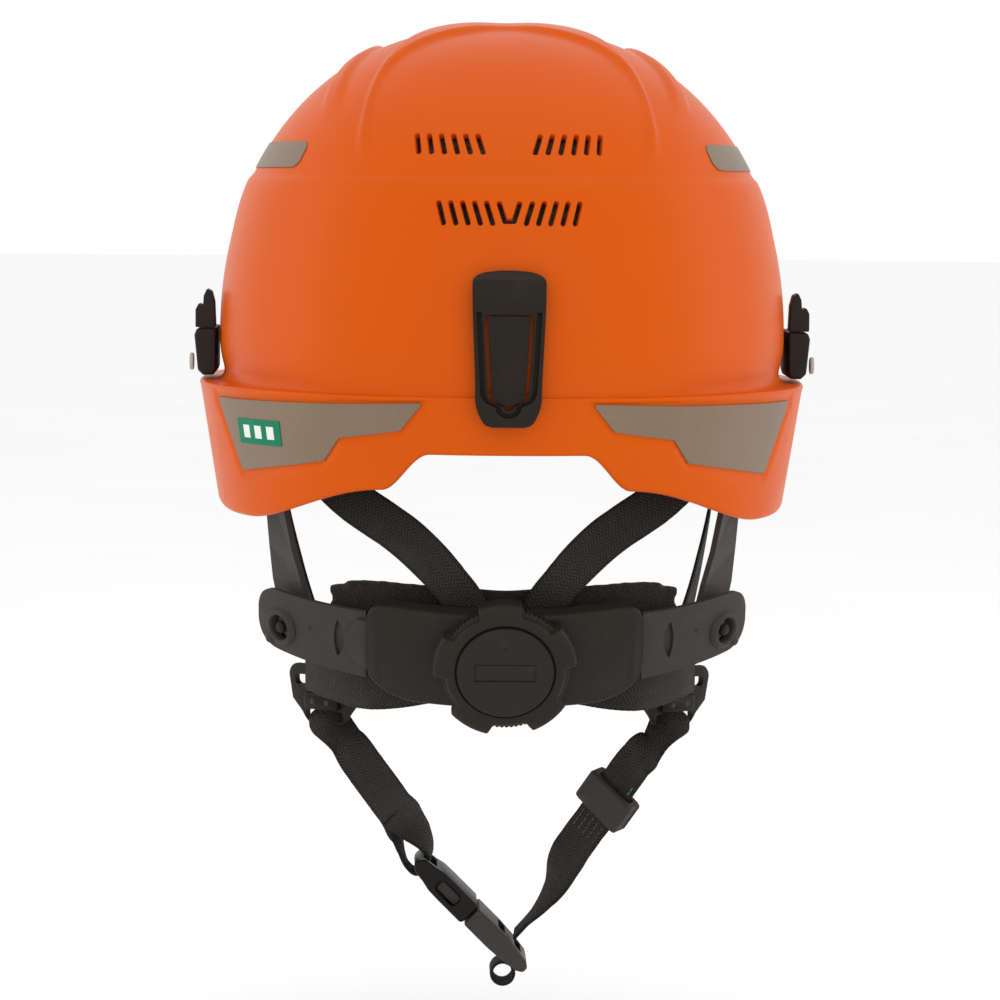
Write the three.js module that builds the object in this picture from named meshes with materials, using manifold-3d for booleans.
// Vented arborist climbing helmet: shell, suspension, ratchet nape adjuster and four-point chin harness.
// Millimetres, +Z up. The wearer faces +Y, +X is the wearer's right. The origin lies on the vertical
// axis of the head, level with the lowest stretch of the shell's rim at the sides.
import * as THREE from 'three';
import { mergeVertices } from 'three/addons/utils/BufferGeometryUtils.js';
import Module from 'manifold-3d';

const wasm = await Module();
wasm.setup();

// ---- driving dimensions -------------------------------------------------------------------------
const GAP = 0.3;                  // air kept between neighbouring pieces
const DEG = Math.PI / 180;

const SHELL = {
  halfWidth: 105.2,               // widest half width of the bowl
  rearReach: 124,                 // from the head axis to the back of the bowl
  frontReach: 128,                // from the head axis to the front of the bowl
  widestZ: 62,                    // height at which the bowl is widest
  crownHeight: 115,               // from there to the crown
  domePower: 2.12,                // how square the dome's profile is
  wallPower: 2.3,                 // how square the wall below it is
  planPower: 2.2,                 // how square the plan outline is
  ledgeZ: 46,                     // height of the shelf round the bowl
  ledgeSide: 10.6,                // width of the shelf at the sides
  ledgeRear: 1.2,                 // width of the shelf at the back
  skirtTaper: 0.16,               // how fast the skirt draws in below the shelf
  brimReach: 12,                  // how far the brim stands out in front
  creaseZ: 120.5,                 // height of the shoulder crease
  creaseDepth: 1.1,
  ribHeight: 2.0,                 // how far the raised ribs stand out
  thickness: 3.0,                 // wall thickness
};
const RIM = { side: -1, rearCorner: 12.5, rearCut: 25.5, front: 14 };

// The recessed panel on top: its inner outline, and the outer outline of the rib round it.
const ARCH = { fromY: -81, inX: 48, inY: 50, backY: -110, frontY: 8, outX: 57 };

const LINER = { lowZ: 78, thickness: 12, gap: 1.2 };

const VENT = { width: 1.6, length: 9.2, pitch: 4.37, upperZ: 133.4, upperStart: 10, lowerZ: 109.6,
  lowerStart: 6.9, lowerPitch: 4.2, lean: 17 * DEG };

const CLIP = { lowZ: 36, highZ: 90, halfWidth: 12.7, waist: 11.5, foot: 8.0, depth: 3.6,
  tongueTop: 7.5, tongueTip: 4.3, gap: 1.2, tongueLowZ: 43, tongueHighZ: 74.5 };

const ADAPTER = { inX: 105.8, outX: 113.8, lowZ: 47.6, highZ: 65, rearY: -24, frontY: 12,
  slotWide: 4.8, slotLong: 18 };

// The nape assembly is drawn in its own frame: its origin is midway between the two pivots, and the
// whole frame leans so that the knob looks backwards and down.
const NAPE = { y: -65, z: -40, lean: 18 * DEG, axisY: 70, midZ: 5 };
const PIVOT_ANGLE = 48 * DEG;     // where the pivots lie round the nape arc
const LAYER = {                   // inner and outer radius of each layer round the nape arc
  pad: [94.4, 99.7],
  strap: [100.6, 101.9],
  plate: [102.9, 104.0],
  tailLeft: [104.4, 105.4],
  wing: [105.8, 107.4],
  tailRight: [107.8, 108.8],
  wall: [109.6, 111.4],
  knob: [112.0, 120.0],
};
const HOUSING = { halfAngle: 26.2 * DEG, lowZ: -13.4, highZ: 22.4, wall: 1.8 };
const KNOB = { radius: 25.3, valley: 22.2, lobes: 5, capRadius: 17.1, capDepth: 1.6 };
const PINION = { teeth: 10, module: 1.25, tip: 7.3, root: 4.8, thick: 1.5, shaft: 4.0 };
const TAIL = { height: 18.6, slotLow: -8.0, slotHigh: 8.4, toothTip: 5.35, toothRoot: 7.75, thick: 1.5 };

const WEB = { width: 15, thick: 1.3 };          // harness webbing
const BUCKLE = { x: -10, y: 14, z: -159, turn: 45 * DEG, width: 24, thick: 9.5, socket: 33 };

// ---- materials ----------------------------------------------------------------------------------
const material = (color, roughness, metalness = 0) =>
  new THREE.MeshStandardMaterial({ color, roughness, metalness });
const ORANGE = material(0xe05e0e, 0.38);
const FOAM = material(0x6e6258, 0.9);
const REFLECTIVE = material(0x7a6652, 0.45, 0.2);
const GREEN = material(0x007d55, 0.5);
const BLACK = material(0x2c2723, 0.5);
const GREY = material(0x57524c, 0.5);
const LIGHT_GREY = material(0xb9b3ab, 0.5);
const PADDING = material(0x26211e, 0.95);
const WEBBING = material(0x37322d, 0.9);
const STEEL = material(0x9a9a9a, 0.3, 1);

// ---- geometry helpers ---------------------------------------------------------------------------
const V = (x, y, z) => new THREE.Vector3(x, y, z);
const clamp01 = (t) => Math.min(1, Math.max(0, t));
const smooth = (from, to, value) => {
  const t = clamp01((value - from) / (to - from));
  return t * t * (3 - 2 * t);
};
const lerp = THREE.MathUtils.lerp;

function signedVolume(geometry) {
  const p = geometry.attributes.position;
  const index = geometry.index;
  const [a, b, c] = [V(), V(), V()];
  let sum = 0;
  for (let i = 0; i < index.count; i += 3) {
    a.fromBufferAttribute(p, index.getX(i));
    b.fromBufferAttribute(p, index.getX(i + 1));
    c.fromBufferAttribute(p, index.getX(i + 2));
    sum += a.dot(b.cross(c)) / 6;
  }
  return sum;
}

function facingOut(geometry) {
  if (signedVolume(geometry) < 0) {
    const array = geometry.index.array;
    for (let i = 0; i < array.length; i += 3) {
      [array[i + 1], array[i + 2]] = [array[i + 2], array[i + 1]];
    }
  }
  return geometry;
}

// Closed solid through a list of rings with equally many points; a ring of one point is a pole.
function loft(rings) {
  const positions = [];
  const starts = [];
  for (const ring of rings) {
    starts.push(positions.length / 3);
    for (const point of ring) positions.push(point.x, point.y, point.z);
  }
  const index = [];
  const cap = (ring, start, forward) => {
    const centre = ring.reduce((sum, point) => sum.add(point), V(0, 0, 0)).divideScalar(ring.length);
    const middle = positions.length / 3;
    positions.push(centre.x, centre.y, centre.z);
    for (let i = 0; i < ring.length; i += 1) {
      const [p, q] = [start + i, start + (i + 1) % ring.length];
      index.push(middle, ...(forward ? [p, q] : [q, p]));
    }
  };
  if (rings[0].length > 1) cap(rings[0], starts[0], false);
  for (let r = 0; r + 1 < rings.length; r += 1) {
    const n = Math.max(rings[r].length, rings[r + 1].length);
    for (let i = 0; i < n; i += 1) {
      const j = (i + 1) % n;
      const low = starts[r];
      const high = starts[r + 1];
      if (rings[r].length === 1) index.push(low, high + j, high + i);
      else if (rings[r + 1].length === 1) index.push(low + i, low + j, high);
      else index.push(low + i, low + j, high + j, low + i, high + j, high + i);
    }
  }
  const last = rings.length - 1;
  if (rings[last].length > 1) cap(rings[last], starts[last], true);
  const geometry = new THREE.BufferGeometry();
  geometry.setAttribute('position', new THREE.Float32BufferAttribute(positions, 3));
  geometry.setIndex(index);
  return facingOut(geometry);
}

function toManifold(geometry) {
  const bare = geometry.clone();
  bare.deleteAttribute('normal');
  bare.deleteAttribute('uv');
  const merged = mergeVertices(bare, 1e-4);
  return new wasm.Manifold(new wasm.Mesh({
    numProp: 3,
    vertProperties: Float32Array.from(merged.attributes.position.array),
    triVerts: Uint32Array.from(merged.index.array),
  }));
}

function toGeometry(manifold) {
  const mesh = manifold.getMesh();
  const geometry = new THREE.BufferGeometry();
  geometry.setAttribute('position', new THREE.BufferAttribute(mesh.vertProperties, 3));
  geometry.setIndex(new THREE.BufferAttribute(mesh.triVerts, 1));
  return geometry;
}

const cut = (base, tools) =>
  toGeometry(tools.reduce((sum, tool) => sum.subtract(toManifold(tool)), toManifold(base)));
const join = (pieces) =>
  toGeometry(pieces.slice(1).reduce((sum, piece) => sum.add(toManifold(piece)), toManifold(pieces[0])));

const box = (x0, x1, y0, y1, z0, z1) =>
  new THREE.BoxGeometry(x1 - x0, y1 - y0, z1 - z0)
    .translate((x0 + x1) / 2, (y0 + y1) / 2, (z0 + z1) / 2);

function mirrored(geometry) {
  const copy = geometry.clone().scale(-1, 1, 1);
  copy.deleteAttribute('normal');
  copy.deleteAttribute('uv');
  return facingOut(mergeVertices(copy, 1e-4));
}

// Prism of a closed outline, from z = low to z = high.
function prism(points, low, high) {
  const shape = new THREE.Shape(points.map(([x, y]) => new THREE.Vector2(x, y)));
  const geometry = new THREE.ExtrudeGeometry(shape, { depth: high - low, bevelEnabled: false });
  return geometry.translate(0, 0, low);
}

// Disc or tube about the z axis from a closed half section.
function turned(section, segments) {
  const outline = section.map(([r, z]) => new THREE.Vector2(r, z));
  if (section[0][0] > 0) outline.push(outline[0].clone());
  const geometry = new THREE.LatheGeometry(outline, segments).rotateX(Math.PI / 2);
  geometry.deleteAttribute('normal');
  geometry.deleteAttribute('uv');
  return facingOut(mergeVertices(geometry, 1e-4));
}
const disc = (radius, low, high, segments = 32) =>
  turned([[0, low], [radius, low], [radius, high], [0, high]], segments);
const tube = (inner, outer, low, high, segments = 32) =>
  turned([[inner, low], [outer, low], [outer, high], [inner, high]], segments);

// Places a geometry so that its x, y and z axes become across, up and out at a point.
function placed(geometry, origin, across, up, out) {
  const matrix = new THREE.Matrix4().makeBasis(across, up, out).setPosition(origin);
  return geometry.clone().applyMatrix4(matrix);
}

// A flat band of webbing along a smooth path. Each stop is [x, y, z, sideways x, y, z]; the band's
// width lies along the sideways direction.
function webbing(stops, width = WEB.width, thick = WEB.thick, steps = 0) {
  const path = new THREE.CatmullRomCurve3(stops.map((s) => V(s[0], s[1], s[2])), false, 'centripetal');
  const count = steps || 3 * (stops.length - 1);
  const rings = [];
  for (let i = 0; i <= count; i += 1) {
    const t = i / count;
    const at = path.getPoint(t);
    const along = path.getTangent(t);
    const place = t * (stops.length - 1);
    const k = Math.min(stops.length - 2, Math.floor(place));
    const side = V(...stops[k].slice(3)).lerp(V(...stops[k + 1].slice(3)), place - k);
    side.addScaledVector(along, -side.dot(along)).normalize();
    const face = along.clone().cross(side).normalize();
    const corner = (s, f) =>
      at.clone().addScaledVector(side, (s * width) / 2).addScaledVector(face, (f * thick) / 2);
    rings.push([corner(-1, -1), corner(1, -1), corner(1, 1), corner(-1, 1)]);
  }
  return loft(rings);
}

// ---- the shell's surface ------------------------------------------------------------------------
// turn is the angle round the head from the back: 0 at the back, 90 degrees at the wearer's right.
function planPoint(turn, halfWidth, rear, front) {
  const s = Math.sin(turn);
  const c = Math.cos(turn);
  const power = 2 / SHELL.planPower;
  const x = Math.sign(s) * Math.abs(s) ** power * halfWidth;
  const y = -Math.sign(c) * Math.abs(c) ** power * (c > 0 ? rear : front);
  return [x, y];
}

const fromBack = (turn) => Math.abs(Math.atan2(Math.sin(turn), Math.cos(turn)));

function rimZ(turn) {
  const a = fromBack(turn) / DEG;
  const fall = (RIM.side - RIM.rearCorner) * smooth(24, 62, a);
  const rise = (RIM.front - RIM.side) * smooth(66, 140, a);
  return RIM.rearCorner + fall + rise + (RIM.rearCut - RIM.rearCorner) * (1 - smooth(14, 24.5, a));
}

function ledgeWidth(turn) {
  const a = fromBack(turn);
  const side = lerp(SHELL.ledgeRear, SHELL.ledgeSide, smooth(12, 75, a / DEG));
  return side - 3 * smooth(110, 170, a / DEG);
}

// How much of its full width the bowl has at a height.
function bowlScale(z) {
  const h = (z - SHELL.widestZ) / SHELL.crownHeight;
  if (h < 0) return 1 - 1.6 * h * h;
  return Math.max(0, 1 - h ** SHELL.domePower) ** (1 / SHELL.wallPower);
}

function crease(z) {
  const below = smooth(96, SHELL.creaseZ - 2, z);
  const above = smooth(SHELL.creaseZ - 1, SHELL.creaseZ + 2, z);
  return SHELL.creaseDepth * below * (1 - above);
}

// Height of the moulded ribs. A raised arch stands round the rear panel: its inner edge is an ellipse
// open to the back, its outer edge a longer arch. A narrower rib runs outside it on each side.
function rib(x, y, z) {
  const side = Math.abs(x);
  const panel = (Math.hypot(side / ARCH.inX, Math.max(0, y - ARCH.fromY) / ARCH.inY) - 1) * ARCH.inX;
  const reach = Math.max(0, y - ARCH.backY) / (ARCH.frontY - ARCH.backY);
  const edge = (1 - (side / ARCH.outX) ** 2 - reach ** 1.6) * 30;
  const dip = 1 - 0.35 * Math.exp(-((x / 9) ** 2));
  const arch = smooth(0, 3, panel) * smooth(0, 3.5, edge) * smooth(126, 140, z) * dip;
  const line = 48 + 15 * smooth(20, -60, y);
  const outer = (1 - smooth(1.8, 5, Math.abs(side - line))) * smooth(142, 154, z);
  return SHELL.ribHeight * Math.max(arch, outer * (1 - smooth(60, 96, y)));
}

// A point of the bowl, above the shelf, at a depth below the outer face.
function bowlPoint(turn, z, depth = 0, ribs = true) {
  const s = bowlScale(z);
  const grow = crease(z) * (ribs ? 1 : 0) - depth;
  const more = grow * Math.sqrt(clamp01(s * 1.6));
  const [x, y] = planPoint(turn, SHELL.halfWidth * s + more, SHELL.rearReach * s + more,
    SHELL.frontReach * s + more);
  const up = clamp01((z - SHELL.widestZ) / SHELL.crownHeight);
  const rise = ribs ? rib(x, y, z) : 0;
  const out = V(x / 106, y / 126, 0).multiplyScalar(1 - up * 0.4);
  return V(x + out.x * rise, y + out.y * rise, z + up * rise - depth * up ** 3);
}

// A point of the skirt, between the rim and the shelf.
function skirtPoint(turn, z, depth = 0) {
  const s = bowlScale(SHELL.ledgeZ);
  const below = SHELL.ledgeZ - z;
  const brim = smooth(105, 165, fromBack(turn) / DEG);
  const grow = ledgeWidth(turn) - SHELL.skirtTaper * below * (1 - brim) - depth;
  const front = grow + brim * SHELL.brimReach * (1 - Math.exp(-below / 12));
  const [x, y] = planPoint(turn, SHELL.halfWidth * s + grow, SHELL.rearReach * s + grow,
    SHELL.frontReach * s + front);
  return V(x, y, z);
}

const shellPoint = (turn, z, depth = 0) =>
  z > SHELL.ledgeZ ? bowlPoint(turn, z, depth) : skirtPoint(turn, z, depth);

// The turn at which the outer face has a given x, on the back half.
function turnAtX(x, z) {
  const reach = shellPoint(Math.PI / 2, z).x;
  return Math.sign(x) * Math.asin(Math.min(1, Math.abs(x) / reach) ** (SHELL.planPower / 2));
}

// Origin and axes of the outer face at a place on the back.
function faceFrame(x, z) {
  const turn = turnAtX(x, z);
  const origin = shellPoint(turn, z);
  const up = shellPoint(turn, z + 1).sub(shellPoint(turn, z - 1)).normalize();
  const across = shellPoint(turn + 0.02, z).sub(shellPoint(turn - 0.02, z)).normalize();
  const out = across.clone().cross(up).normalize();
  return { origin, across, up: out.clone().cross(across).normalize(), out };
}

function ringAt(pointAt, count) {
  return Array.from({ length: count }, (_, i) => pointAt((i / count) * 2 * Math.PI));
}

function shellGeometry() {
  const around = 64;
  const outerSteps = 12;
  const innerSteps = 6;
  const t = SHELL.thickness;
  const crown = SHELL.widestZ + SHELL.crownHeight;
  const skirt = [0, 0.5, 1];
  const level = (i, steps, low, high) => lerp(low, high, Math.sin((i / steps) * Math.PI / 2));
  const rings = [[bowlPoint(0, crown)]];
  const outerLevels = [SHELL.creaseZ - 1.5, SHELL.creaseZ + 2];
  for (let i = 0; i < outerSteps; i += 1) {
    const z = level(i, outerSteps, SHELL.ledgeZ + 1.4, crown - 0.15);
    if (Math.abs(z - SHELL.creaseZ) > 3) outerLevels.push(z);
  }
  for (const z of outerLevels.sort((a, b) => b - a)) {
    rings.push(ringAt((turn) => bowlPoint(turn, z), around));
  }
  for (const f of [...skirt].reverse()) {
    rings.push(ringAt((turn) => skirtPoint(turn, lerp(rimZ(turn), SHELL.ledgeZ, f)), around));
  }
  for (const f of skirt) {
    rings.push(ringAt((turn) => skirtPoint(turn, lerp(rimZ(turn), SHELL.ledgeZ - t, f), t), around));
  }
  for (let i = 0; i < innerSteps; i += 1) {
    const z = level(i, innerSteps, SHELL.ledgeZ, crown - 0.5);
    rings.push(ringAt((turn) => bowlPoint(turn, z, t, false), around));
  }
  rings.push([V(0, 0, crown - t)]);
  return loft(rings);
}

// Slanted ventilation slots at the back: two rows on each side and one joined slot in the middle.
function ventTools() {
  const tools = [];
  const slot = (x, z, lean, length = VENT.length, shift = 0, width = VENT.width) => {
    const { origin, across, up, out } = faceFrame(x, z);
    const half = width / 2;
    const shape = new THREE.Shape();
    const straight = length / 2 - half;
    shape.moveTo(half, -straight);
    shape.absarc(0, straight, half, 0, Math.PI, false);
    shape.absarc(0, -straight, half, Math.PI, 2 * Math.PI, false);
    const tool = new THREE.ExtrudeGeometry(shape, { depth: 16, bevelEnabled: false, curveSegments: 2 });
    tool.translate(0, shift, -10).rotateZ(lean);
    tools.push(placed(tool, origin, across, up, out));
  };
  for (const side of [-1, 1]) {
    for (let i = 0; i < 6; i += 1) {
      slot(side * (VENT.upperStart + i * VENT.pitch), VENT.upperZ, -side * VENT.lean);
    }
    for (let i = 0; i < 5; i += 1) {
      slot(side * (VENT.lowerStart + i * VENT.lowerPitch), VENT.lowerZ, -side * VENT.lean);
    }
  }
  for (const side of [-1, 1]) slot(side * 2.6, VENT.lowerZ + 0.4, -side * VENT.lean, 8);
  slot(0, VENT.lowerZ - 2.9, Math.PI / 2, 4.6);
  return tools;
}

function linerGeometry() {
  const around = 32;
  const steps = 5;
  const crown = SHELL.widestZ + SHELL.crownHeight;
  const outerDepth = SHELL.thickness + LINER.gap;
  const innerDepth = outerDepth + LINER.thickness;
  const level = (i, high) => lerp(LINER.lowZ, high, Math.sin((i / steps) * Math.PI / 2));
  const rings = [[V(0, 0, crown - outerDepth - 0.4)]];
  for (let i = steps - 1; i >= 0; i -= 1) {
    rings.push(ringAt((turn) => bowlPoint(turn, level(i, crown - 3.5), outerDepth, false), around));
  }
  for (let i = 0; i < steps; i += 1) {
    rings.push(ringAt((turn) => {
      const point = bowlPoint(turn, level(i, crown - 3.5), innerDepth, false);
      return point.setZ(Math.min(point.z, crown - innerDepth - 0.6));
    }, around));
  }
  rings.push([V(0, 0, crown - innerDepth - 0.6)]);
  return loft(rings);
}

// One section of a thin sheet that lies off the outer face.
function skinSection(turn, low, high, off, thick) {
  return [shellPoint(turn, low, -off), shellPoint(turn, low, -off - thick),
    shellPoint(turn, high, -off - thick), shellPoint(turn, high, -off)];
}

// Rear reflector: a tall outer field under the shelf that steps down to a bar towards the middle.
// Its ends are cut on a slant. The stations are turn, lower edge and upper edge.
function rearReflector(side) {
  const stations = [[15.2, 42.6, 43.6], [19.5, 33.8, 43.4], [26, 32, 43], [32.8, 30.4, 42.6],
    [36.8, 22, 42.4], [44, 20, 42.2], [52, 18, 42], [60.8, 15.9, 41.8], [64, 28, 41.8], [67.3, 40.6, 41.7]];
  return loft(stations.map(([turn, low, high]) => skinSection(side * turn * DEG, low, high, GAP + 0.1, 0.5)));
}

// Side reflector: a bar just above the shoulder crease that drops slightly towards the front.
function sideReflector(side) {
  const sections = [];
  for (let i = 0; i <= 12; i += 1) {
    const f = i / 12;
    const low = lerp(125, 123.6, f);
    sections.push(skinSection(side * lerp(53, 116, f) * DEG, low, low + 9.3, 0.5, 0.5));
  }
  return loft(sections);
}

function labelPlate() {
  return loft([-60, -55.7, -51.4, -47].map((turn) => skinSection(turn * DEG, 26, 35, 1.3, 0.4)));
}

// ---- rear headlamp clip -------------------------------------------------------------------------
// A panel that follows the back of the shell; halfWidth gives its half width at a height.
function rearPanel(lowZ, highZ, steps, halfWidth, off, thick) {
  const rings = [];
  const columns = 4;
  for (let i = 0; i <= steps; i += 1) {
    const z = lerp(lowZ, highZ, i / steps);
    const ring = [];
    const add = (f, depth) => {
      const x = f * halfWidth(z);
      const point = shellPoint(turnAtX(x, Math.max(z, SHELL.ledgeZ + 2)), Math.max(z, SHELL.ledgeZ + 2));
      ring.push(V(x, point.y - SHELL.ledgeRear - depth, z));
    };
    for (let c = 0; c <= columns; c += 1) add(lerp(-1, 1, c / columns), off);
    for (let c = columns; c >= 0; c -= 1) add(lerp(-1, 1, c / columns), off + thick);
    rings.push(ring);
  }
  return loft(rings);
}

function clipHalfWidth(z) {
  const top = CLIP.highZ - 7;
  const side = lerp(CLIP.waist, CLIP.halfWidth, smooth(46, 84, z));
  if (z < 46) return lerp(CLIP.foot, CLIP.waist, Math.sin(clamp01((z - CLIP.lowZ) / 10) * Math.PI / 2));
  return z < top ? side : side * Math.max(0.2, 1 - ((z - top) / 7.4) ** 2.4) ** 0.5;
}

const tongueHalfWidth = (z) =>
  lerp(CLIP.tongueTip, CLIP.tongueTop, (z - CLIP.tongueLowZ) / (CLIP.tongueHighZ - CLIP.tongueLowZ));

function clipFrame() {
  const body = rearPanel(CLIP.lowZ, CLIP.highZ, 14, clipHalfWidth, GAP, CLIP.depth);
  const window = rearPanel(CLIP.tongueLowZ - CLIP.gap, CLIP.tongueHighZ + 0.5, 6,
    (z) => tongueHalfWidth(z) + CLIP.gap, -3, CLIP.depth + 8);
  return cut(body, [window]);
}

function clipTongue() {
  return rearPanel(CLIP.tongueLowZ, CLIP.tongueHighZ, 6, tongueHalfWidth, 0.9, CLIP.depth - 1.4);
}

// ---- side accessory adapters --------------------------------------------------------------------
function adapterBody() {
  const a = ADAPTER;
  const block = box(a.inX, a.outX, a.rearY, a.frontY, a.lowZ, a.highZ);
  const midX = (a.inX + a.outX) / 2;
  const midY = (a.rearY + a.frontY) / 2;
  const slot = box(midX - a.slotWide / 2, midX + a.slotWide / 2, midY - a.slotLong / 2,
    midY + a.slotLong / 2, a.lowZ - 1, a.highZ + 1);
  return cut(block, [slot]);
}

function adapterLatch() {
  const a = ADAPTER;
  const z = a.highZ + GAP;
  const profile = [[0, 0], [7.4, 0], [7.4, 6.6], [6.2, 8.8], [4.6, 8.2], [4.4, 11.6], [3.2, 14.2],
    [1.4, 13.2],
    [0.4, 9.4]];
  const long = 9;
  const geometry = prism(profile, 0, long).rotateX(Math.PI / 2);
  return geometry.translate(a.inX + 0.2, a.rearY + long, z);
}

const adapterCap = () =>
  disc(3.2, 0, 1.6, 24).rotateY(Math.PI / 2).translate(ADAPTER.outX + GAP, ADAPTER.rearY + 5, 52.5);

// ---- suspension fixed to the shell --------------------------------------------------------------
// The pivot point of one side, in the helmet's frame, at a radius round the nape arc.
function napePoint(angle, radius, z) {
  const local = V(radius * Math.sin(angle), NAPE.axisY - radius * Math.cos(angle), z);
  return local.applyAxisAngle(V(1, 0, 0), NAPE.lean).add(V(0, NAPE.y, NAPE.z));
}

const ARM = { radius: LAYER.wing[0] - 4.4, thick: 2.2, width: 18, discRadius: 10.5, hole: 4.4, topZ: 34 };

// Hanger arm: a strap of plastic that drops from the shell and turns to face the nape pivot.
function hangerArm() {
  const rings = [];
  const stops = [
    [ARM.topZ, -56, 84.5, 74],
    [10, -58.5, 82.8, 70],
    [-12, -60.5, 79.6, 62],
    [-24, -62, 77.2, 54],
  ];
  for (const [z, y, x, facing] of stops) {
    const out = V(Math.sin(facing * DEG), -Math.cos(facing * DEG), 0);
    const along = V(-out.y, out.x, 0);
    const corner = (s, f) => V(x, y, z).addScaledVector(along, (s * ARM.width) / 2)
      .addScaledVector(out, (f * ARM.thick) / 2);
    rings.push([corner(-1, -1), corner(1, -1), corner(1, 1), corner(-1, 1)]);
  }
  const centre = napePoint(PIVOT_ANGLE, ARM.radius, 0);
  const out = V(Math.sin(PIVOT_ANGLE), -Math.cos(PIVOT_ANGLE), 0);
  const up = V(0, 0, 1);
  const across = up.clone().cross(out);
  const eye = placed(disc(ARM.discRadius, -1.1, 1.1, 24), centre, across, up, out);
  const neck = centre.clone().setZ(NAPE.z + 8);
  const corner = (s, f) => neck.clone().addScaledVector(across, s * 8).addScaledVector(out, f * 1.1);
  rings.push([corner(-1, -1), corner(1, -1), corner(1, 1), corner(-1, 1)]);
  const hole = placed(disc(ARM.hole, -5, 5, 18), centre, across, up, out);
  return cut(join([loft(rings), eye]), [hole]);
}

// Key that joins the top of the arm to the inside of the shell.
const hangerKey = () => box(89.4, 91.6, -58, -47, 15, 30);

// The brow band runs from arm to arm round the front of the head.
function frontBand(inner, outer, lowZ, highZ, reach, steps) {
  const rings = [];
  for (let i = 0; i <= steps; i += 1) {
    const turn = lerp(-reach, reach, i / steps);
    const at = (grow, z) => {
      const s = Math.sin(turn);
      const c = Math.cos(turn);
      const x = Math.sign(s) * Math.abs(s) ** 0.9 * (77 + grow);
      const y = Math.sign(c) * Math.abs(c) ** 0.9 * (97 + grow);
      return V(x, y, z);
    };
    rings.push([at(inner, lowZ), at(outer, lowZ), at(outer, highZ), at(inner, highZ)]);
  }
  return loft(rings);
}
const browBand = () => frontBand(0, 2, 14, 40, 102 * DEG, 30);
const browPad = () => frontBand(-5.4, -0.4, 12, 42, 62 * DEG, 20);

const KEY = { front: [63, 80, 52], rear: [65, -75, 52] };

// Crown strap: webbing over the head from one front corner to the opposite rear corner.
function crownStrap(side, lift) {
  const [fx, fy, fz] = KEY.front;
  const [rx, ry, rz] = KEY.rear;
  const stops = [];
  const count = 10;
  for (let i = 0; i <= count; i += 1) {
    const t = i / count;
    const arch = Math.sin(Math.PI * t) ** 0.62;
    const x = side * lerp(fx - 3, -(rx - 5), t);
    const y = lerp(fy - 6, ry + 6, t);
    stops.push([x, y, lerp(fz, rz, t) + (142 + lift - fz) * arch, side * 0.77, 0.64, 0]);
  }
  return webbing(stops, 20, WEB.thick, 24);
}

function anchorKey(front, side) {
  const [x, y, z] = front ? KEY.front : KEY.rear;
  const geometry = box(-9, 9, 0, 5, -10, 10);
  const turn = Math.atan2(x, front ? y : -y);
  const angle = front ? -side * turn : Math.PI + side * turn;
  return geometry.rotateZ(angle).translate(side * (x + 1.8), y + (front ? 2.2 : -2.2), z);
}

// ---- chin harness -------------------------------------------------------------------------------
const DIVIDER = { x: 64, y: -24, z: -69 };

function rearStrapStops(side) {
  // Behind the housing the band lies on the nape arc; over and up say where its width points.
  const hidden = (angle, z, over, up) => {
    const radius = (LAYER.strap[0] + LAYER.strap[1]) / 2;
    const p = napePoint(side * angle * DEG, radius, z);
    const q = napePoint(side * (angle + over) * DEG, radius, z + up).sub(p);
    return [p.x, p.y, p.z, q.x, q.y, q.z];
  };
  return [
    [side * 62, -83, 14, side * -0.6, 0.1, 0.75],
    [side * 54, -85.5, 7, side * -0.65, 0.05, 0.75],
    [side * 34.5, -93.5, -6, side * -0.68, 0, 0.73],
    hidden(11, 30, -0.42, 0.7),
    hidden(8, 22, -0.5, 0.5),
    hidden(7, 11, -0.57, 0.1),
    hidden(8, 2, -0.5, -0.5),
    hidden(12, -7, -0.25, -0.85),
    hidden(18, -11.5, 0, -1),
    [side * 48, -80, -61, 0, 0, -1],
    [side * 64, -54, -60.5, 0, 0, -1],
    [side * 71.5, -32, -60.5, 0, 0, -1],
  ];
}
const rearStrap = (side) => webbing(rearStrapStops(side), WEB.width, WEB.thick, 30);

const frontStrap = (side) => webbing([
  [side * 84, 42, 24, 0.1 * side, 1, 0],
  [side * 82, 30, 0, 0.1 * side, 1, 0.2],
  [side * 76, 14, -26, 0.25 * side, 1, 0.3],
  [side * 69, 1, -50, 0.4 * side, 0.9, 0.2],
  [side * 66.5, -6, -60, 0.5 * side, 0.85, 0],
]);

function dividerFrame(side) {
  const out = V(side * 0.62, -0.78, -0.1).normalize();
  const across = V(0, 0, 1).cross(out).normalize();
  const up = out.clone().cross(across).normalize();
  return { origin: V(side * DIVIDER.x, DIVIDER.y, DIVIDER.z), across, up, out };
}

function dividerGeometry(side) {
  const shape = new THREE.Shape();
  shape.moveTo(-13, 9);
  shape.absarc(-13, 5, 4, Math.PI / 2, Math.PI, false);
  shape.lineTo(-15, -6);
  shape.quadraticCurveTo(-12, -15, 0, -16);
  shape.quadraticCurveTo(12, -15, 15, -6);
  shape.lineTo(17, 5);
  shape.absarc(13, 5, 4, 0, Math.PI / 2, false);
  const plate = new THREE.ExtrudeGeometry(shape, { depth: 2.6, bevelEnabled: false, curveSegments: 6 });
  const slots = [box(-13.5, 13.5, 1.5, 5.5, -2, 6), box(-9, 9, -11.5, -7.5, -2, 6)];
  const bars = cut(plate, slots);
  const f = dividerFrame(side);
  return placed(bars, f.origin, f.across, f.up, f.out);
}

function dividerLever(side) {
  const f = dividerFrame(side);
  const outline = [[-8, -7], [8, -7], [8, -0.8], [-8, -0.8]];
  const lever = prism(outline, 2.6 + GAP, 5.2);
  return placed(lever, f.origin, f.across, f.up, f.out);
}

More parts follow.
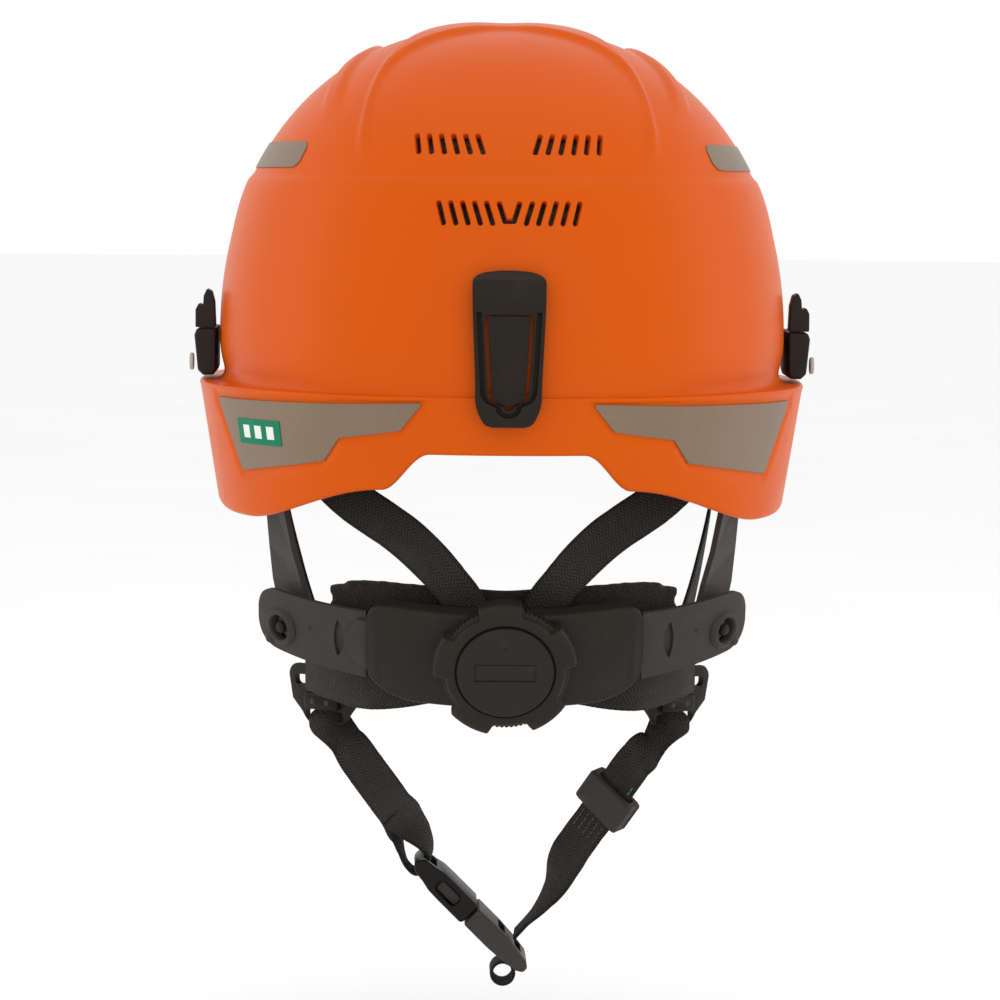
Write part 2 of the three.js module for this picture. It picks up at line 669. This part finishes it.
// The left chin strap ends in a loop round the bar of the buckle's socket.
const chinStrapLeft = () => webbing([
  [-58, -32, -87, 0.75, 0.6, 0.2],
  [-52, -27, -95, 0.85, 0.4, 0.3],
  [-43, -15, -109, 0.85, 0.45, 0.3],
  [-37.5, -1, -119, 0.6, 0.75, 0.2],
  [-35.8, 9, -127, 0.2, 1, 0],
  [-36.4, 13, -134, 0, 1, 0],
  [-34.2, 14, -141.4, 0, 1, 0],
  [-30.6, 14, -144.2, 0, 1, 0],
  [-26.6, 14, -141.6, 0, 1, 0],
  [-25.0, 14, -136.8, 0, 1, 0],
  [-26.8, 13.6, -132.2, 0, 1, 0],
  [-30.2, 13, -129.2, 0, 1, 0],
], WEB.width, WEB.thick, 34);

// The right chin strap runs straight through its keeper, then turns edge-on into the plug.
const KEEPER = { from: [51, -29, -94], to: [27, -5, -134], side: [-0.75, 0.6, -0.2] };
const chinStrapRight = () => webbing([
  [57.5, -33, -87, -0.75, 0.6, -0.2],
  [...KEEPER.from, ...KEEPER.side],
  [...KEEPER.from.map((v, i) => lerp(v, KEEPER.to[i], 0.5)), ...KEEPER.side],
  [...KEEPER.to, ...KEEPER.side],
  [17, 7, -151, -0.3, 0.95, 0],
  [9.4, 13, -160.6, 0, 1, 0],
  [4.4, 14, -165.6, 0, 1, 0],
], WEB.width, WEB.thick, 22);

function keeperMatrix() {
  const from = V(...KEEPER.from);
  const along = V(...KEEPER.to).sub(from);
  const at = from.clone().addScaledVector(along, 0.42);
  along.normalize();
  const sideways = V(...KEEPER.side);
  sideways.addScaledVector(along, -sideways.dot(along)).normalize();
  const face = along.clone().cross(sideways);
  return new THREE.Matrix4().makeBasis(sideways, face, along).setPosition(at);
}

// ---- side-release buckle, drawn along x and then turned ------------------------------------------
function buckleSocket() {
  const half = BUCKLE.width / 2;
  const body = box(-BUCKLE.socket + 4, 0, -half, half, -BUCKLE.thick / 2, BUCKLE.thick / 2);
  const bay = box(-BUCKLE.socket + 14, 1, -half + 2, half - 2, -BUCKLE.thick / 2 + 2, BUCKLE.thick / 2 - 2);
  const windows = box(-18, -6, -half - 1, half + 1, -BUCKLE.thick / 2 + 2, BUCKLE.thick / 2 - 2);
  const loop = box(-BUCKLE.socket + 6.4, -BUCKLE.socket + 11.4, -8.2, 8.2, -9, 9);
  const reliefs = [-1, 1].map((side) =>
    box(-BUCKLE.socket + 3, -BUCKLE.socket + 6.5, -8.2, 8.2, side < 0 ? -9 : 1.8, side < 0 ? -1.8 : 9));
  return cut(body, [bay, windows, loop, ...reliefs]);
}

function bucklePlug() {
  const half = BUCKLE.width / 2;
  const grip = box(0.6, 24, -half, half, -BUCKLE.thick / 2 + 0.6, BUCKLE.thick / 2 - 0.6);
  const guide = box(-16, 1, -2, 2, -2.2, 2.2);
  const slots = [box(6, 10, -8.2, 8.2, -9, 9), box(14.5, 18.5, -8.2, 8.2, -9, 9)];
  return cut(join([grip, guide]), slots);
}

function buckleProng(side) {
  const outline = [[0.3, 4.2], [0.3, 7.2], [-5.5, 8.2], [-6.6, 9.6], [-16.4, 9.6], [-17.4, 8.4],
    [-12, 5.4]];
  const points = outline.map(([x, y]) => [x, side * y]);
  return facingOut(mergeVertices(bare(prism(points, -2.2, 2.2)), 1e-4));
}

function bare(geometry) {
  geometry.deleteAttribute('normal');
  geometry.deleteAttribute('uv');
  return geometry;
}

function strapTailLoop() {
  return tube(3.2, 5.2, -7, 7, 20).rotateX(Math.PI / 2).translate(20, 0, -10.2);
}

function strapKeeper() {
  const outer = box(-11, 11, -4, 4, -7, 7);
  const inner = box(-8.2, 8.2, -1.7, 1.7, -8, 8);
  return cut(outer, [inner]);
}

// ---- nape assembly, in its own frame -------------------------------------------------------------
// A curved strip round the nape arc. low and high give its edges at an angle.
function arcStrip(fromAngle, toAngle, steps, [inner, outer], low, high) {
  const rings = [];
  for (let i = 0; i <= steps; i += 1) {
    const a = lerp(fromAngle, toAngle, i / steps);
    const at = (r, z) => V(r * Math.sin(a), NAPE.axisY - r * Math.cos(a), z);
    rings.push([at(inner, low(a)), at(outer, low(a)), at(outer, high(a)), at(inner, high(a))]);
  }
  return loft(rings);
}

// Places a piece drawn in the xy plane on the nape arc, looking outwards.
function onArc(geometry, angle, z) {
  const out = V(Math.sin(angle), -Math.cos(angle), 0);
  const up = V(0, 0, 1);
  const across = up.clone().cross(out);
  return placed(geometry, V(0, NAPE.axisY, z), across, up, out);
}

function napeWing() {
  const low = (a) => lerp(-8.6, -9.6, (a / DEG - 27) / 27) + 7 * smooth(50, 55.5, a / DEG);
  const high = (a) => lerp(17, 13, (a / DEG - 27) / 27) - 7 * smooth(50.5, 55.5, a / DEG);
  const strip = arcStrip(27.2 * DEG, 55.5 * DEG, 10, LAYER.wing, low, high);
  const collar = onArc(tube(4.6, 7, LAYER.wing[1] - 1, LAYER.wing[1] + 1.6, 18), PIVOT_ANGLE, 0);
  const hole = onArc(disc(4.6, 100, 112, 18), PIVOT_ANGLE, 0);
  const slot = new THREE.Shape();
  slot.absarc(5.5, 0, 10, 135 * DEG, 225 * DEG, false);
  slot.absarc(-16.7, 0, 16.7, -25 * DEG, 25 * DEG, false);
  const crescent = new THREE.ExtrudeGeometry(slot, { depth: 12, bevelEnabled: false, curveSegments: 6 });
  const tool = onArc(crescent.translate(4.5, 0, 100), 32 * DEG, 4);
  return cut(join([strip, collar]), [hole, tool]);
}

// Pivot stud: a mushroom rivet through the wing's collar into the arm's eye.
function pivotStud() {
  const section = [[0, ARM.radius - 1.4], [3.6, ARM.radius - 1.4], [3.6, LAYER.wing[1] + 0.6],
    [4.2, LAYER.wing[1] + 0.6], [4.2, LAYER.wing[1] + 1.8], [0, LAYER.wing[1] + 1.8]];
  return onArc(turned(section, 18), PIVOT_ANGLE, 0);
}

function ratchetHousing() {
  const h = HOUSING;
  const low = (a) => h.lowZ + 3.6 * smooth(17, 26.2, Math.abs(a) / DEG);
  const high = (a) => h.highZ - 1.0 * smooth(23, 26.2, Math.abs(a) / DEG);
  const body = arcStrip(-h.halfAngle, h.halfAngle, 16, [LAYER.plate[1] + GAP, LAYER.wall[1]], low, high);
  const hollow = arcStrip(-h.halfAngle - 0.1, h.halfAngle + 0.1, 16, [LAYER.plate[0], LAYER.wall[0]],
    (a) => low(a) + h.wall, (a) => high(a) - h.wall);
  const hole = onArc(disc(PINION.shaft + 0.5, 100, 116, 24), 0, NAPE.midZ);
  const notch = onArc(prism([[-13, 13.5], [13, 13.5], [13, 20], [-13, 20]], 109, 116), 0, NAPE.midZ);
  return cut(body, [hollow, hole, notch]);
}

const ratchetBackPlate = () =>
  arcStrip(-25.4 * DEG, 25.4 * DEG, 16, LAYER.plate, () => HOUSING.lowZ + 6, () => HOUSING.highZ - 2);

function napePad() {
  const reach = 35.6 * DEG;
  const edge = (a) => Math.sqrt(clamp01(1 - (Math.abs(a) / (reach + 0.004)) ** 6));
  return arcStrip(-reach, reach, 24, LAYER.pad, (a) => NAPE.midZ + 2 - 14 * Math.max(0.55, edge(a)),
    (a) => NAPE.midZ + 6 + 16.6 * Math.max(0.7, edge(a)));
}

// A toothed end of the head band. teethSide is 1 for teeth on the upper edge of the slot.
function bandTail(fromAngle, toAngle, layer, teethSide, slotFrom, slotTo) {
  const mid = (layer[0] + layer[1]) / 2;
  const half = (a) => {
    const end = (a - fromAngle) / (4.2 * DEG);
    const square = Math.min(1, Math.abs(end));
    return (TAIL.height / 2) * Math.sqrt(clamp01(1 - (1 - square) ** 2)) * 0.75 + TAIL.height / 8;
  };
  const strip = arcStrip(fromAngle, toAngle, 22, layer, (a) => NAPE.midZ - half(a),
    (a) => NAPE.midZ + half(a));
  const reach = [layer[0] - 0.4, layer[1] + 0.4];
  const toothed = TAIL.toothRoot;
  const plain = TAIL.slotHigh;
  const slotLow = NAPE.midZ - (teethSide < 0 ? toothed : plain);
  const slotHigh = NAPE.midZ + (teethSide < 0 ? plain : toothed);
  const slot = arcStrip(slotFrom, slotTo, 14, reach, () => slotLow, () => slotHigh);
  const pitch = (Math.PI * PINION.module) / mid;
  const teeth = [];
  const pitchLine = (PINION.module * PINION.teeth) / 2;
  const lean = Math.tan(20 * DEG);
  const root = TAIL.thick / 2 + (TAIL.toothRoot - pitchLine) * lean;
  const tip = TAIL.thick / 2 - (pitchLine - TAIL.toothTip) * lean;
  for (let n = Math.ceil(slotFrom / pitch + 0.4); n * pitch < slotTo - 0.4 * pitch; n += 1) {
    const outline = [[-root, TAIL.toothRoot + 0.6], [-root, TAIL.toothRoot], [-tip, TAIL.toothTip],
      [tip, TAIL.toothTip], [root, TAIL.toothRoot], [root, TAIL.toothRoot + 0.6]];
    const points = outline.map(([x, y]) => [x, teethSide * y]);
    const tooth = prism(teethSide < 0 ? points : points.reverse(), reach[0] - 0.5, reach[1] + 0.5);
    teeth.push(onArc(facingOut(mergeVertices(bare(tooth), 1e-4)), n * pitch, NAPE.midZ));
  }
  return cut(strip, [cut(slot, teeth)]);
}

function pinionGeometry() {
  const points = [];
  const pitchRadius = (PINION.module * PINION.teeth) / 2;
  const lean = 0.34;
  const add = (radius, angle) => points.push([radius * Math.cos(angle), radius * Math.sin(angle)]);
  for (let n = 0; n < PINION.teeth; n += 1) {
    const centre = (n / PINION.teeth) * 2 * Math.PI;
    const half = (radius) => (PINION.thick / 2 - (radius - pitchRadius) * lean) / radius;
    add(PINION.root, centre - half(PINION.root + 0.9));
    add(PINION.tip, centre - half(PINION.tip));
    add(PINION.tip, centre + half(PINION.tip));
    add(PINION.root, centre + half(PINION.root + 0.9));
  }
  const gear = prism(points, LAYER.tailLeft[0] - 0.2, LAYER.wall[0] - GAP);
  const shaft = disc(PINION.shaft, LAYER.wall[0] - 1, LAYER.knob[0] + 4, 20);
  return onArc(join([gear, shaft]), 0, NAPE.midZ);
}

function knobGeometry() {
  const points = [];
  const count = 70;
  for (let i = 0; i < count; i += 1) {
    const angle = (i / count) * 2 * Math.PI;
    const phase = ((angle - 95 * DEG) * KNOB.lobes) / (2 * Math.PI);
    const fromLobe = Math.abs(phase - Math.round(phase)) * 2;
    const serration = i % 2 === 0 ? 0 : 0.9;
    const radius = lerp(KNOB.radius, KNOB.valley - serration, smooth(0.42, 0.6, fromLobe));
    points.push([radius * Math.cos(angle), radius * Math.sin(angle)]);
  }
  const body = prism(points, ...LAYER.knob);
  const [back, front] = LAYER.knob;
  const tools = [
    disc(KNOB.capRadius + 0.4, front - KNOB.capDepth - 0.2, front + 1, 40),
    disc(PINION.shaft + 0.35, back - 1, back + 4.4, 20),
    tube(9.5, 15, back - 1, back + 1.6, 32),
    disc(4.2, front - 3.4, front, 20),
  ];
  return onArc(cut(body, tools), 0, NAPE.midZ);
}

const knobCap = () => {
  const front = LAYER.knob[1];
  return onArc(disc(KNOB.capRadius, front - KNOB.capDepth + 0.1, front + 0.6, 40), 0, NAPE.midZ);
};

const knobScrew = () => {
  const front = LAYER.knob[1];
  return onArc(disc(3.7, front - 3.1, front - KNOB.capDepth - 0.2, 16), 0, NAPE.midZ);
};

// Detent spring: a flat ring with three bent leaves that click against the housing.
function detentSpring() {
  const back = LAYER.knob[0];
  const ring = tube(11.2, 13.2, back + 0.7, back + 1.2, 28);
  const leaves = [0, 1, 2].map((n) => {
    const leaf = box(-3, 3, 11.6, 12.8, back - 0.2, back + 0.9);
    return leaf.rotateZ((n * 2 * Math.PI) / 3);
  });
  return onArc(join([ring, ...leaves]), 0, NAPE.midZ);
}

// ---- assembly -----------------------------------------------------------------------------------
const helmet = new THREE.Group();
const napeFrame = new THREE.Group();
napeFrame.position.set(0, NAPE.y, NAPE.z);
napeFrame.rotation.x = NAPE.lean;
helmet.add(napeFrame);
const buckleFrame = new THREE.Group();
buckleFrame.position.set(BUCKLE.x, BUCKLE.y, BUCKLE.z);
buckleFrame.rotation.y = BUCKLE.turn;
helmet.add(buckleFrame);

function add(name, geometry, finish, parent = helmet) {
  const mesh = new THREE.Mesh(geometry, finish);
  mesh.name = name;
  parent.add(mesh);
  return mesh;
}

function addPair(name, geometry, finish, parent = helmet) {
  add(`${name}_right`, geometry, finish, parent);
  add(`${name}_left`, mirrored(geometry), finish, parent);
}

add('shell', cut(shellGeometry(), ventTools()), ORANGE);
add('foam_liner', linerGeometry(), FOAM);
addPair('reflector_rear', rearReflector(1), REFLECTIVE);
addPair('reflector_side', sideReflector(1), REFLECTIVE);
add('label_plate', labelPlate(), GREEN);
add('rear_clip_frame', clipFrame(), BLACK);
add('rear_clip_tongue', clipTongue(), BLACK);
addPair('accessory_adapter', adapterBody(), BLACK);
addPair('adapter_latch', adapterLatch(), BLACK);
addPair('adapter_cap', adapterCap(), LIGHT_GREY);

addPair('hanger_arm', hangerArm(), BLACK);
addPair('hanger_key', hangerKey(), BLACK);
add('brow_band', browBand(), BLACK);
add('brow_pad', browPad(), PADDING);
add('crown_strap_lower', crownStrap(1, 0), WEBBING);
add('crown_strap_upper', crownStrap(-1, 4.6), WEBBING);
for (const [word, front] of [['front', true], ['rear', false]]) {
  add(`anchor_key_${word}_right`, anchorKey(front, 1), BLACK);
  add(`anchor_key_${word}_left`, anchorKey(front, -1), BLACK);
}

addPair('rear_strap', rearStrap(1), WEBBING);
addPair('front_strap', frontStrap(1), WEBBING);
addPair('strap_divider', dividerGeometry(1), BLACK);
addPair('divider_lever', dividerLever(1), BLACK);
add('chin_strap_left', chinStrapLeft(), WEBBING);
add('chin_strap_right', chinStrapRight(), WEBBING);
add('strap_keeper', strapKeeper(), GREY).applyMatrix4(keeperMatrix());

add('buckle_socket', buckleSocket(), BLACK, buckleFrame);
add('buckle_plug', bucklePlug(), GREY, buckleFrame);
add('buckle_prong_rear', buckleProng(-1), GREY, buckleFrame);
add('buckle_prong_front', buckleProng(1), GREY, buckleFrame);
add('strap_tail_loop', strapTailLoop(), WEBBING, buckleFrame);

addPair('nape_wing', napeWing(), GREY, napeFrame);
addPair('pivot_stud', pivotStud(), BLACK, napeFrame);
add('ratchet_housing', ratchetHousing(), BLACK, napeFrame);
add('ratchet_back_plate', ratchetBackPlate(), BLACK, napeFrame);
add('nape_pad', napePad(), PADDING, napeFrame);
add('band_tail_right', bandTail(-31.5 * DEG, 24 * DEG, LAYER.tailRight, -1, -15 * DEG, 7 * DEG),
  GREY, napeFrame);
add('band_tail_left', mirrored(bandTail(-30 * DEG, 24 * DEG, LAYER.tailLeft, 1, -15 * DEG, 7 * DEG)),
  GREY, napeFrame);
add('adjuster_knob', knobGeometry(), BLACK, napeFrame);
add('knob_cap', knobCap(), GREY, napeFrame);
add('knob_screw', knobScrew(), STEEL, napeFrame);
add('pinion', pinionGeometry(), BLACK, napeFrame);
add('detent_spring', detentSpring(), STEEL, napeFrame);

export default helmet;
